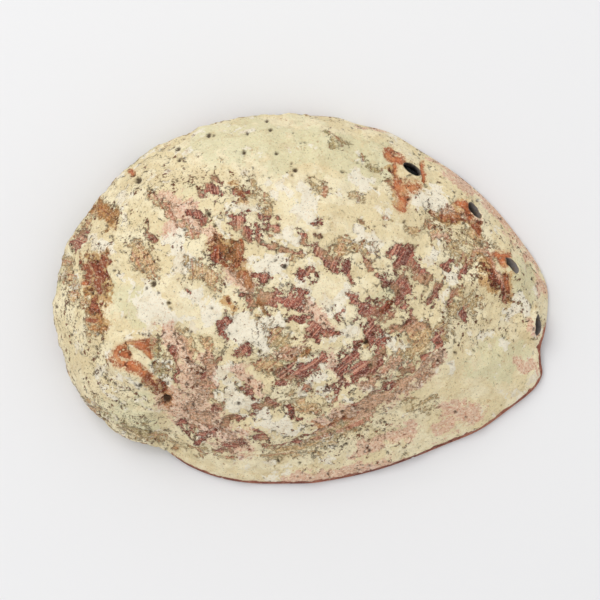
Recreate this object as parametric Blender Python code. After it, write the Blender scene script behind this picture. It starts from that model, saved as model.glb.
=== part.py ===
"""Abalone shell, resting mouth down, as one closed solid.

Run it with: blender --background --python part.py

The shell is a low, fast-growing spiral. Its apex is a small curl near one end, a row of breathing pores runs
along a keel on one side, and a flat inner lip closes the other side. +X points to the growing front edge, +Y to
the pore side and +Z up, away from the surface that the rim stands on. The origin is under the middle of the
shell, on that surface.

Every length in this file is in millimetres until place_mesh turns it into Blender's metres.
"""

import math
import random

import bmesh
import bpy
import numpy as np
from mathutils import Matrix, Vector

MM = 0.001

# Driving dimensions
HEIGHT = 56.0  # top of the dome above the surface that the rim stands on
TOP_WALL = 3.4  # thickness of the wall at the top of the dome
LIP_EDGE = 1.4  # height of the rounded outer edge of the lip
LIP_TUCK = 0.7  # how far that edge is rounded back under itself
LIP_BAND = 2.0  # width of the worn flat strip that the rim stands on
SHELF_BAND = 4.0  # width of that strip along the inner lip
SHELF_FULL = 4.0  # width of the inner lip from which the strip is that wide
APEX = np.array((-69.6, -21.1))  # the curl where growth began
CREST = np.array((-16.0, 4.0))  # the highest point of the dome

# Resolution of the sheet, in rings from the apex to the rim and back inside, and in sectors round it
SECTORS = 90
OUTER_RINGS = 32
ROLL_RINGS = 2
SHELF_RINGS = 3
INNER_RINGS = 9
RIM_SAMPLES = SECTORS * 8
CROWDING = 0.45  # how much closer together the outer rings are near the apex and the rim
SHELF_MARGIN = 2.0  # the rings of the shelf end this far up the wall behind it

# Outline seen from above, anticlockwise from the nick in the front edge: x, y
OUTLINE = [
    (96.9, -19.5),
    (98.9, -11.5),
    (99.9, 2.0),
    (98.0, 9.8),
    (92.3, 19.5),
    (77.9, 37.7),
    (63.4, 50.6),
    (49.0, 60.0),
    (35.2, 68.1),
    (22.5, 71.4),
    (12.7, 74.3),
    (-12.1, 74.6),
    (-27.0, 72.8),
    (-39.3, 70.3),
    (-46.0, 66.4),
    (-59.1, 60.8),
    (-71.3, 52.1),
    (-81.2, 41.4),
    (-89.1, 30.4),
    (-94.3, 23.5),
    (-97.0, 14.4),
    (-100.0, -5.0),
    (-97.7, -16.0),
    (-93.1, -30.8),
    (-85.6, -43.2),
    (-75.1, -52.5),
    (-65.6, -57.2),
    (-57.2, -59.3),
    (-52.6, -62.9),
    (-45.5, -67.6),
    (-34.6, -71.9),
    (-21.7, -74.3),
    (-6.0, -74.6),
    (7.3, -74.0),
    (33.2, -68.3),
    (59.9, -58.1),
    (72.5, -52.6),
    (84.6, -44.0),
    (94.1, -36.3),
    (97.6, -30.2),
    (97.0, -24.8),
]

# What changes round the shell, by the bearing from the crest in degrees: 0 is the front, 90 the pore side
# Height of the widest line above the rim, and how far the wall turns in below it
BELLY = [(0, 0), (50, 0.4), (75, 3), (100, 7), (130, 9), (185, 11), (215, 10), (231, 8), (241, 1.5), (252, 0)]
TUCK = [(0, 0), (50, 0), (75, 1), (100, 2.5), (130, 3.5), (185, 5.5), (215, 5), (231, 4), (241, 1), (252, 0)]
# Powers of the dome's profile: the higher the flatness the broader the top, and below a roundness of 1 the wall
# turns upright where it meets the widest line
FLATNESS = [(0, 2.1), (60, 2.3), (100, 2.4), (180, 2.2), (235, 2.2), (260, 2.1), (300, 2.1), (330, 2.1)]
ROUNDNESS = [(0, 1), (45, 0.95), (80, 0.8), (110, 0.72), (185, 0.68), (225, 0.72), (243, 0.9), (262, 1)]
# Width of the inner lip, the flat shelf inside the rim
SHELF = [(0, 0), (160, 0), (195, 3.5), (218, 7), (240, 9), (262, 8), (285, 6.5), (308, 3.5), (328, 0)]
SHELF_SLOPE, SHELF_WALL = 0.12, 3.0  # slope of that shelf, and of the wall that rises from it

# Arches where the rim is off the surface: x, y, rise, half width. The first is the nick for the next pore.
ARCHES = [(97, -20, 2.4, 9), (62, 52, 1.5, 16), (-99, -2, 1.9, 15), (-57, -59, 2.8, 7), (-48, 65, 1.3, 12)]
ARCH_START = 0.25  # this much of each arch's foot is worn away flat
ARCH_SHARE = 0.2  # the outer share of the dome that an arch lifts
ARCH_FADE = 5.0  # how far in from the rim its lift fades on the inside
RIM_FADE = 0.05  # the last share of the way out, where ridges, ledges and lumps fade away

# Ridges and grooves of the outside: x, y, rise, half width at points along each
KEEL = [
    (96.5, -16.0, 3.6, 4.5),
    (94.6, -9.6, 5.2, 5.0),
    (83.8, 13.8, 4.4, 6.0),
    (68.9, 36.0, 3.8, 6.5),
    (44.2, 52.6, 3.4, 7.0),
    (13.5, 62.0, 2.8, 7.5),
    (-14.0, 64.0, 2.2, 7.5),
    (-44.0, 57.0, 1.6, 7.0),
    (-72.0, 38.0, 1.0, 6.5),
    (-88.0, 12.0, 0.4, 6.0),
]
FURROW = [
    (-57.5, -59.5, -2.6, 4.0),
    (-40.0, -63.5, -2.4, 5.0),
    (-17.0, -65.5, -2.0, 5.5),
    (15.0, -59.5, -2.2, 7.5),
    (40.0, -51.0, -2.2, 9.0),
    (57.0, -40.0, -1.8, 10.0),
    (74.0, -24.0, -0.8, 9.0),
]
SUTURE = [
    (-56.8, -60.0, -4.2, 4.6),
    (-55.6, -48.0, -3.6, 3.8),
    (-54.8, -39.0, -3.0, 3.0),
    (-52.2, -30.0, -2.0, 3.0),
    (-53.6, -19.0, -1.6, 3.0),
    (-62.0, -12.6, -1.4, 2.8),
    (-70.4, -13.0, -1.2, 2.5),
]
CURL = [
    (-55.8, -37.6, 1.0, 2.2),
    (-61.6, -33.6, 1.8, 2.6),
    (-67.5, -28.6, 2.2, 2.8),
    (-73.4, -24.0, 2.4, 2.8),
    (-73.6, -18.2, 2.4, 2.6),
    (-68.0, -15.8, 2.2, 2.4),
    (-62.2, -17.6, 1.6, 2.4),
]
WEDGE = [(-59.4, -19.5, -1.8, 3.4), (-57.6, -27.0, -1.8, 2.6), (-55.6, -34.0, -1.2, 1.8)]
MOUND = [(-74.0, -28.0, 5.0, 24.0)]  # the early whorl under the curl
# Old edges of the growing lip, as low ledges: the turn since then in degrees, rise, half width
LEDGES = [(8, 0.8, 3.2), (19, 1.1, 4.2), (33, 0.9, 4.5), (50, 0.9, 4.5)]
SHRINKAGE = 0.388  # the whole shell was smaller by this power for each radian of that turn
LIP_BEARINGS = (-62, 12)  # the stretch of the outline, seen from the apex, that those old edges repeat
SEALED_PORES = [(13.5, 63.4, 2.0, 4.6), (-14.2, 65.4, 1.6, 4.4), (-41.0, 59.0, 1.2, 4.2)]
POCKET_RISE, POCKET_RADIUS = 4.0, 13.0  # the hollow of the early whorls, inside under the apex

# Thick crust on the outside, as low lumps scattered evenly
LUMPS, LUMP_RISE, LUMP_RADIUS, LUMP_SEED = 170, (-1.6, 2.1), (5.0, 9.0), 4
BIG_LUMPS = [
    (14.6, 65.5, 1.8, 5.0),
    (-90.0, 25.5, 2.4, 6.0),
    (-59.5, 36.4, 1.8, 8.0),
    (-23.0, -10.0, 1.6, 9.0),
    (-83.0, -40.0, 2.0, 8.0),
    (-40.0, 42.0, 1.5, 9.0),
    (31.0, 30.0, 1.3, 10.0),
    (-28.0, -69.0, 1.6, 9.0),
]

# Open pores, oldest last: x, y, length and width of the bore, heading of its length and its outward lean in degrees
PORES = [
    (94.4, -10.0, 9.0, 4.6, 107, 47),
    (83.8, 13.8, 7.0, 4.5, 114, 52),
    (68.9, 35.8, 7.8, 4.5, 119, 40),
    (44.2, 52.6, 8.4, 4.8, 152, 12),
]
COLLAR_RIM = 1.3  # width of the raised ring round a pore at its top
COLLAR_FOOT = 3.6  # and at its foot
COLLAR_RISE = 1.7
COLLAR_DEPTH = 2.0  # how deep the ring is rooted in the wall
BORE_DEPTH = 13.0
BORE_CLEARANCE = 4.0  # how far the bore runs out past the ring
PORE_SEGMENTS = 24

SHELL_COLOUR = (0.74, 0.66, 0.48, 1.0)
SHELL_ROUGHNESS = 0.8


def smooth_curve(points, closed=False, per_span=24):
    """A smooth curve through rows of numbers, whose first two are x and y."""
    rows = np.array(points, float)
    if closed:
        rows = np.vstack([rows[-1:], rows, rows[:2]])
    else:
        rows = np.vstack([2 * rows[0] - rows[1], rows, 2 * rows[-1] - rows[-2]])
    span = np.linalg.norm(np.diff(rows[:, :2], axis=0), axis=1)[:, None]
    slope = (rows[2:] - rows[:-2]) / (span[1:] + span[:-1])
    t = np.linspace(0, 1, per_span, endpoint=False)[:, None]
    pieces = []
    for i in range(len(slope) - 1):
        start, end, length = rows[i + 1], rows[i + 2], span[i + 1]
        pieces.append(
            (2 * t**3 - 3 * t**2 + 1) * start
            + (t**3 - 2 * t**2 + t) * length * slope[i]
            + (3 * t**2 - 2 * t**3) * end
            + (t**3 - t**2) * length * slope[i + 1]
        )
    if not closed:
        pieces.append(rows[-2:-1])
    return np.vstack(pieces)


def evenly_spaced(curve, count):
    """A closed curve as that many points at equal distances along it."""
    loop = np.vstack([curve, curve[:1]])
    run = np.concatenate([[0], np.cumsum(np.linalg.norm(np.diff(loop, axis=0), axis=1))])
    wanted = np.linspace(0, run[-1], count, endpoint=False)
    return np.column_stack([np.interp(wanted, run, loop[:, k]) for k in (0, 1)])


def by_bearing(rows, xy):
    """The value at each point of a property that is given by its bearing from the crest."""
    bearing = np.degrees(np.arctan2(xy[..., 1] - CREST[1], xy[..., 0] - CREST[0]))
    return np.interp(bearing, [b for b, _ in rows], [v for _, v in rows], period=360)


def nearest(xy, curve):
    """Distance from each point to a curve, and the number of the curve's nearest sample."""
    flat = xy.reshape(-1, 2)
    gap = np.linalg.norm(flat[:, None, :] - curve[None, :, :2], axis=2)
    index = gap.argmin(axis=1)
    return gap[np.arange(len(flat)), index].reshape(xy.shape[:-1]), index.reshape(xy.shape[:-1])


def ridge(xy, points):
    """Rise at each point of a ridge, or of a groove where the rise is below zero."""
    curve = smooth_curve(points)
    distance, index = nearest(xy, curve)
    return curve[index, 2] * np.exp(-((distance / curve[index, 3]) ** 2))


def bumps(xy, places):
    """Rise at each point of round bumps: x, y, rise, radius."""
    total = np.zeros(xy.shape[:-1])
    for x, y, rise, radius in places:
        distance = np.hypot(xy[..., 0] - x, xy[..., 1] - y)
        total += rise * np.exp(-((distance / radius) ** 2))
    return total


def inward(outline):
    """Unit vectors that point in from a closed anticlockwise curve."""
    along = np.roll(outline, -1, axis=0) - np.roll(outline, 1, axis=0)
    along /= np.linalg.norm(along, axis=1)[:, None]
    return np.column_stack([-along[:, 1], along[:, 0]])


def arch_rise(xy):
    """How far the rim is off the surface, and exactly 0 where it stands on it."""
    return np.clip(bumps(xy, ARCHES) - ARCH_START, 0, None)


def rim_curves():
    """The shell's widest line, and the outer and inner edges of the strip that it stands on."""
    widest = evenly_spaced(smooth_curve(OUTLINE, closed=True), RIM_SAMPLES)
    normal = inward(widest)
    tuck = LIP_TUCK + by_bearing(TUCK, widest)
    band = LIP_BAND + (SHELF_BAND - LIP_BAND) * np.clip(by_bearing(SHELF, widest) / SHELF_FULL, 0, 1)
    outer = widest + normal * tuck[:, None]
    return widest, outer, outer + normal * band[:, None]


def share_of_way_out(xy, rim):
    """0 at the crest and 1 at the rim, along a line from one to the other."""
    way, rim_way = xy - CREST, rim - CREST
    bearing = np.arctan2(way[..., 1], way[..., 0])
    rim_bearing = np.arctan2(rim_way[:, 1], rim_way[:, 0])
    reach = np.interp(bearing, rim_bearing, np.linalg.norm(rim_way, axis=1), period=2 * math.pi)
    return np.clip(np.linalg.norm(way, axis=-1) / reach, 0, 1)


def growth_line(widest, age):
    """The edge that the lip had when the shell was that many degrees of turn younger."""
    way = widest - APEX
    bearing = np.degrees(np.arctan2(way[:, 1], way[:, 0]))
    order = np.argsort(bearing)
    chosen = (bearing[order] > LIP_BEARINGS[0]) & (bearing[order] < LIP_BEARINGS[1])
    lip = way[order][chosen]
    turn = math.radians(age)
    turned = np.array(((math.cos(turn), math.sin(turn)), (-math.sin(turn), math.cos(turn))))
    return APEX + lip @ turned * math.exp(-SHRINKAGE * turn)


def growth_ledges(xy, widest):
    """Rise at each point of the ledges that old edges of the lip left."""
    total = np.zeros(xy.shape[:-1])
    for age, rise, half_width in LEDGES:
        distance, _ = nearest(xy, growth_line(widest, age))
        total += rise * np.exp(-((distance / half_width) ** 2))
    return total


def dome(xy, rim, foot, top):
    """Height of a dome that rises from the foot at its rim to the top at the crest."""
    share = share_of_way_out(xy, rim)
    return foot + (top - foot) * (1 - share ** by_bearing(FLATNESS, xy)) ** by_bearing(ROUNDNESS, xy)


def crust_lumps(rim):
    """Places of the low lumps of thick crust."""
    rng = random.Random(LUMP_SEED)
    low, high = rim.min(axis=0), rim.max(axis=0)
    return [
        (
            rng.uniform(low[0], high[0]),
            rng.uniform(low[1], high[1]),
            rng.uniform(*LUMP_RISE),
            rng.uniform(*LUMP_RADIUS),
        )
        for _ in range(LUMPS)
    ]


def outer_height(xy, widest):
    """Height of the outside above each point inside the widest line."""
    share = share_of_way_out(xy, widest)
    belly = LIP_EDGE + by_bearing(BELLY, xy)
    smooth = dome(xy, widest, belly, HEIGHT)
    detail = sum(ridge(xy, line) for line in (KEEL, FURROW, SUTURE, CURL, WEDGE))
    detail += growth_ledges(xy, widest)
    detail += bumps(xy, MOUND + SEALED_PORES + BIG_LUMPS + crust_lumps(widest))
    fade = np.clip((1 - share) / RIM_FADE, 0, 1)
    rim_lift = arch_rise(xy) * np.clip((share - (1 - ARCH_SHARE)) / ARCH_SHARE, 0, 1)
    return np.maximum(smooth + detail * fade, belly) + rim_lift


def inner_height(xy, inner_rim):
    """Height of the inside above each point within the rim: a smaller dome, and the shelf of the inner lip."""
    vault = dome(xy, inner_rim, 0, HEIGHT - TOP_WALL)
    pocket = POCKET_RISE * np.exp(-((np.linalg.norm(xy - APEX, axis=-1) / POCKET_RADIUS) ** 2))
    distance, index = nearest(xy, inner_rim)
    width = by_bearing(SHELF, inner_rim)[index]
    shelf = SHELF_SLOPE * np.minimum(distance, width) + SHELF_WALL * np.clip(distance - width, 0, None)
    lift = arch_rise(inner_rim)[index] * np.exp(-distance / ARCH_FADE)
    return np.minimum(vault + pocket, shelf) + lift


def outer_spacing():
    """Shares of the way from the apex to the widest line, closer together at both ends."""
    t = np.linspace(0, 1, OUTER_RINGS + 1)
    return t - CROWDING * np.sin(2 * math.pi * t) / (2 * math.pi)


def sheet_rows():
    """Rows of points, one row for each ring, from the apex over the outside to the rim and back inside."""
    widest, outer_rim, inner_rim = rim_curves()
    sector = slice(0, None, RIM_SAMPLES // SECTORS)
    lift = arch_rise(outer_rim)[sector]
    rows = []
    for share in outer_spacing():
        xy = APEX + share * (widest[sector] - APEX)
        rows.append(np.column_stack([xy, outer_height(xy, widest)]))
    edge = rows[-1]
    for turn in np.linspace(0, math.pi / 2, ROLL_RINGS + 1)[1:]:
        xy = edge[:, :2] + (outer_rim[sector] - edge[:, :2]) * (1 - math.cos(turn))
        z = edge[:, 2] + (lift - edge[:, 2]) * math.sin(turn)
        rows.append(np.column_stack([xy, z]))
    foot = inner_rim[sector]
    rows.append(np.column_stack([foot, arch_rise(inner_rim)[sector]]))
    way = APEX - foot
    reach = np.linalg.norm(way, axis=1)
    square_on = (way * inward(inner_rim)[sector]).sum(axis=1) / reach
    edge_share = np.clip((by_bearing(SHELF, foot) + SHELF_MARGIN) / (reach * square_on), 0.01, 0.45)
    shares = [edge_share * k / SHELF_RINGS for k in range(1, SHELF_RINGS + 1)]
    shares += [edge_share + (1 - edge_share) * k / INNER_RINGS for k in range(1, INNER_RINGS + 1)]
    for share in shares:
        xy = foot + share[:, None] * way
        rows.append(np.column_stack([xy, inner_height(xy, inner_rim)]))
    return np.array(rows)


def shell_sheet():
    """A UV sphere whose upper half becomes the outside of the shell and whose lower half becomes its inside."""
    rows = sheet_rows()
    rings = len(rows) - 1
    mesh = bpy.data.meshes.new("shell")
    bm = bmesh.new()
    bmesh.ops.create_uvsphere(bm, u_segments=SECTORS, v_segments=rings, radius=1)
    for vert in bm.verts:
        ring = round(math.acos(max(-1.0, min(1.0, vert.co.z))) / math.pi * rings)
        sector = round(math.atan2(vert.co.y, vert.co.x) / (2 * math.pi) * SECTORS) % SECTORS
        vert.co = rows[ring, sector]
    bmesh.ops.triangulate(bm, faces=bm.faces, quad_method="SHORT_EDGE")
    return place_mesh(bm, mesh, "shell", PARTS)


def place_mesh(bm, mesh, name, collection):
    """Turns a bmesh in millimetres into an object in metres."""
    bmesh.ops.scale(bm, vec=(MM, MM, MM), verts=bm.verts)
    bm.to_mesh(mesh)
    bm.free()
    obj = bpy.data.objects.new(name, mesh)
    collection.objects.link(obj)
    return obj


def oval_cone(name, foot, top, low, high, frame):
    """A cone or cylinder with an oval section, whose axis is the Z axis of the frame, as a hidden tool."""
    bm = bmesh.new()
    bmesh.ops.create_cone(
        bm, cap_ends=True, segments=PORE_SEGMENTS, radius1=1, radius2=1, depth=high - low
    )
    for vert in bm.verts:
        across = foot if vert.co.z < 0 else top
        vert.co = (vert.co.x * across[0], vert.co.y * across[1], vert.co.z + (high + low) / 2)
    bmesh.ops.transform(bm, matrix=frame, verts=bm.verts)
    tool = place_mesh(bm, bpy.data.meshes.new(name), name, TOOLS)
    tool.hide_render = True
    tool.display_type = "WIRE"
    return tool


def pore_frame(pore, height):
    """The frame of a pore: X along its length, Z out through its mouth, leaning away from the crest."""
    x, y, _, _, heading, lean = pore
    out = Vector((x - CREST[0], y - CREST[1], 0)).normalized()
    axis = Vector((0, 0, math.cos(math.radians(lean)))) + out * math.sin(math.radians(lean))
    along = Vector((math.cos(math.radians(heading)), math.sin(math.radians(heading)), 0))
    along = (along - axis * along.dot(axis)).normalized()
    across = axis.cross(along)
    frame = Matrix((along, across, axis)).transposed().to_4x4()
    frame.translation = (x, y, height)
    return frame


def join(target, tool, operation):
    """Adds one Boolean step to the shell."""
    step = target.modifiers.new(tool.name, "BOOLEAN")
    step.operation = operation
    step.object = tool
    step.solver = "EXACT"


def make_pores(shell):
    """Raises a ring round each pore, then bores the pore through the wall."""
    widest = rim_curves()[0]
    frames = []
    for number, pore in enumerate(PORES, start=1):
        half_length, half_width = pore[2] / 2, pore[3] / 2
        height = float(outer_height(np.array([pore[:2]]), widest)[0])
        frame = pore_frame(pore, height)
        frames.append((number, half_length, half_width, frame))
        foot = (half_length + COLLAR_FOOT, half_width + COLLAR_FOOT)
        top = (half_length + COLLAR_RIM, half_width + COLLAR_RIM)
        ring = oval_cone(f"pore_ring_{number}", foot, top, -COLLAR_DEPTH, COLLAR_RISE, frame)
        join(shell, ring, "UNION")
    for number, half_length, half_width, frame in frames:
        section = (half_length, half_width)
        reach = COLLAR_RISE + BORE_CLEARANCE
        bore = oval_cone(f"pore_bore_{number}", section, section, -BORE_DEPTH, reach, frame)
        join(shell, bore, "DIFFERENCE")


def shell_material():
    material = bpy.data.materials.new("encrusted_shell")
    material.use_nodes = True
    surface = material.node_tree.nodes["Principled BSDF"]
    surface.inputs["Base Color"].default_value = SHELL_COLOUR
    surface.inputs["Roughness"].default_value = SHELL_ROUGHNESS
    surface.inputs["Metallic"].default_value = 0.0
    return material


def clear_scene():
    for obj in list(bpy.data.objects):
        bpy.data.objects.remove(obj, do_unlink=True)


def new_collection(name):
    collection = bpy.data.collections.new(name)
    bpy.context.scene.collection.children.link(collection)
    return collection


clear_scene()
PARTS = new_collection("abalone_shell")
TOOLS = new_collection("tools")
shell_body = shell_sheet()
shell_body.data.materials.append(shell_material())
shell_body.data.shade_smooth()
make_pores(shell_body)
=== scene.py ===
"""Red abalone shell crusted with coralline algae, lying mouth down on a pale surface and seen from above.

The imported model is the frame. One piece stands for its shell: the same surfaces drawn finely, with the crust,
the growth lines, the worn curl and the mother of pearl inside. Places on the shell are in millimetres of the
frame until place_mesh turns them into metres. Places of markings are in pixels of the photograph, which
on_shell turns into millimetres.
"""

import math
import random

import bmesh
import bpy
import numpy as np
from mathutils import Matrix, Vector, noise


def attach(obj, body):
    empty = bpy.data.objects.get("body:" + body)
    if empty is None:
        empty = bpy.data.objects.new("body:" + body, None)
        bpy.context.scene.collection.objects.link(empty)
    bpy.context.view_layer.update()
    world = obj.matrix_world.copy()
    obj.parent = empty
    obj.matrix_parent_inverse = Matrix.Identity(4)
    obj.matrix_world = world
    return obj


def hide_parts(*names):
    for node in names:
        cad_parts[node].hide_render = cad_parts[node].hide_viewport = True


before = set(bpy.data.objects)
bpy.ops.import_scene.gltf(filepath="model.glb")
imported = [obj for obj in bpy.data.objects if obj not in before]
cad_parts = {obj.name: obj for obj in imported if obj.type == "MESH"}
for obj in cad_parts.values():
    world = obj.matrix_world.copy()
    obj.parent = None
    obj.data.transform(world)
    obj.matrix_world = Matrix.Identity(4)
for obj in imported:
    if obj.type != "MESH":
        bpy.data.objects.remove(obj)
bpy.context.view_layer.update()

MM = 0.001
NODE = "shell"

# The photograph: millimetres to a pixel, and the pixel over the frame's origin
PIXEL = 0.40486
PHOTO_ORIGIN = (302, 300)
PHOTO_SIZE = 600
CAMERA_HEIGHT = 2400.0
SCALE_HEIGHT = 10.0  # where a pixel is exactly that size, higher up it is less

# Driving dimensions, the same as the model's
HEIGHT = 56.0
TOP_WALL = 3.4
LIP_EDGE = 1.4
LIP_TUCK = 0.7
LIP_BAND = 2.0
SHELF_BAND = 4.0
APEX = np.array((-69.6, -21.1))
CREST = np.array((-16.0, 4.0))

# Resolution of the sheet, in rings from the crest to the rim and back inside, and in points round the widest
OUTER_RINGS = 175
ROLL_RINGS = 8
BAND_RINGS = 3
INNER_RINGS = 50
RIM_POINTS = 740
INNER_POINTS = 360
RIM_SAMPLES = 720
RING_BEND = 1.33  # the nearer to half of pi, the closer together the rings are towards the rim

# Outline seen from above, anticlockwise from the nick in the front edge: x, y
OUTLINE = [
    (96.9, -19.5), (98.9, -11.5), (99.9, 2.0), (98.0, 9.8), (92.3, 19.5), (77.9, 37.7), (63.4, 50.6),
    (49.0, 60.0), (35.2, 68.1), (22.5, 71.4), (12.7, 74.3), (-12.1, 74.6), (-27.0, 72.8), (-39.3, 70.3),
    (-46.0, 66.4), (-59.1, 60.8), (-71.3, 52.1), (-81.2, 41.4), (-89.1, 30.4), (-94.3, 23.5), (-97.0, 14.4),
    (-100.0, -5.0), (-97.7, -16.0), (-93.1, -30.8), (-85.6, -43.2), (-75.1, -52.5), (-65.6, -57.2),
    (-57.2, -59.3), (-52.6, -62.9), (-45.5, -67.6), (-34.6, -71.9), (-21.7, -74.3), (-6.0, -74.6),
    (7.3, -74.0), (33.2, -68.3), (59.9, -58.1), (72.5, -52.6), (84.6, -44.0), (94.1, -36.3), (97.6, -30.2),
    (97.0, -24.8),
]

# What changes round the shell, by the bearing from the crest in degrees: 0 is the front, 90 the pore side
BELLY = [(0, 0), (50, 0.4), (75, 3), (100, 7), (130, 9), (185, 11), (215, 10), (231, 8), (241, 1.5), (252, 0)]
TUCK = [(0, 0), (50, 0), (75, 1), (100, 2.5), (130, 3.5), (185, 5.5), (215, 5), (231, 4), (241, 1), (252, 0)]
FLATNESS = [(0, 2.1), (60, 2.3), (100, 2.4), (180, 2.2), (235, 2.2), (260, 2.1), (300, 2.1), (330, 2.1)]
ROUNDNESS = [(0, 1), (45, 0.95), (80, 0.8), (110, 0.72), (185, 0.68), (225, 0.72), (243, 0.9), (262, 1)]
SHELF = [(0, 0), (160, 0), (195, 3.5), (218, 7), (240, 9), (262, 8), (285, 6.5), (308, 3.5), (328, 0)]
SHELF_SLOPE, SHELF_WALL = 0.12, 3.0

# Arches where the rim is off the surface: x, y, rise, half width
ARCHES = [(97, -20, 2.4, 9), (62, 52, 1.5, 16), (-99, -2, 1.9, 15), (-57, -59, 2.8, 7), (-48, 65, 1.3, 12)]
ARCH_START = 0.25

# Ridges and grooves of the outside: x, y, rise, half width at points along each
KEEL = [
    (96.5, -16.0, 3.6, 4.5), (94.6, -9.6, 5.2, 5.0), (83.8, 13.8, 4.4, 6.0), (68.9, 36.0, 3.8, 6.5),
    (44.2, 52.6, 3.4, 7.0), (13.5, 62.0, 2.8, 7.5), (-14.0, 64.0, 2.2, 7.5), (-44.0, 57.0, 1.6, 7.0),
    (-72.0, 38.0, 1.0, 6.5), (-88.0, 12.0, 0.4, 6.0),
]
FURROW = [
    (-57.5, -59.5, -2.6, 4.0), (-40.0, -63.5, -2.4, 5.0), (-17.0, -65.5, -2.0, 5.5),
    (15.0, -59.5, -2.2, 7.5), (40.0, -51.0, -2.2, 9.0), (57.0, -40.0, -1.8, 10.0), (74.0, -24.0, -0.8, 9.0),
]
SUTURE = [
    (-56.8, -60.0, -4.2, 4.6), (-55.6, -48.0, -3.6, 3.8), (-54.8, -39.0, -3.0, 3.0),
    (-52.2, -30.0, -2.0, 3.0), (-53.6, -19.0, -1.6, 3.0), (-62.0, -12.6, -1.4, 2.8),
    (-70.4, -13.0, -1.2, 2.5),
]
CURL = [
    (-55.8, -37.6, 1.0, 2.2), (-61.6, -33.6, 1.8, 2.6), (-67.5, -28.6, 2.2, 2.8), (-73.4, -24.0, 2.4, 2.8),
    (-73.6, -18.2, 2.4, 2.6), (-68.0, -15.8, 2.2, 2.4), (-62.2, -17.6, 1.6, 2.4),
]
WEDGE = [(-59.4, -19.5, -1.8, 3.4), (-57.6, -27.0, -1.8, 2.6), (-55.6, -34.0, -1.2, 1.8)]
MOUND = [(-74.0, -28.0, 5.0, 24.0)]
LEDGES = [(8, 0.8, 3.2), (19, 1.1, 4.2), (33, 0.9, 4.5), (50, 0.9, 4.5)]
SHRINKAGE = 0.388
LIP_BEARINGS = (-62, 12)
SEALED_PORES = [(13.5, 63.4, 2.0, 4.6), (-14.2, 65.4, 1.6, 4.4), (-41.0, 59.0, 1.2, 4.2)]
POCKET_RISE, POCKET_RADIUS = 4.0, 13.0
LUMPS, LUMP_RISE, LUMP_RADIUS, LUMP_SEED = 170, (-1.6, 2.1), (5.0, 9.0), 4
BIG_LUMPS = [
    (14.6, 65.5, 1.8, 5.0), (-90.0, 25.5, 2.4, 6.0), (-59.5, 36.4, 1.8, 8.0), (-23.0, -10.0, 1.6, 9.0),
    (-83.0, -40.0, 2.0, 8.0), (-40.0, 42.0, 1.5, 9.0), (31.0, 30.0, 1.3, 10.0), (-28.0, -69.0, 1.6, 9.0),
]

# Open pores, oldest last: x, y, length and width of the bore, its heading and its outward lean in degrees
PORES = [
    (94.4, -10.0, 9.0, 4.6, 107, 47), (83.8, 13.8, 7.0, 4.5, 114, 52), (68.9, 35.8, 7.8, 4.5, 119, 40),
    (44.2, 52.6, 8.4, 4.8, 152, 12),
]
COLLAR_RISE = 1.5
COLLAR_SPREAD = 0.42  # how far the raised ring spreads, as a share of the bore
BORE_DEPTH = 13.0
BORE_ABOVE = 8.0
PORE_SEGMENTS = 40

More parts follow.
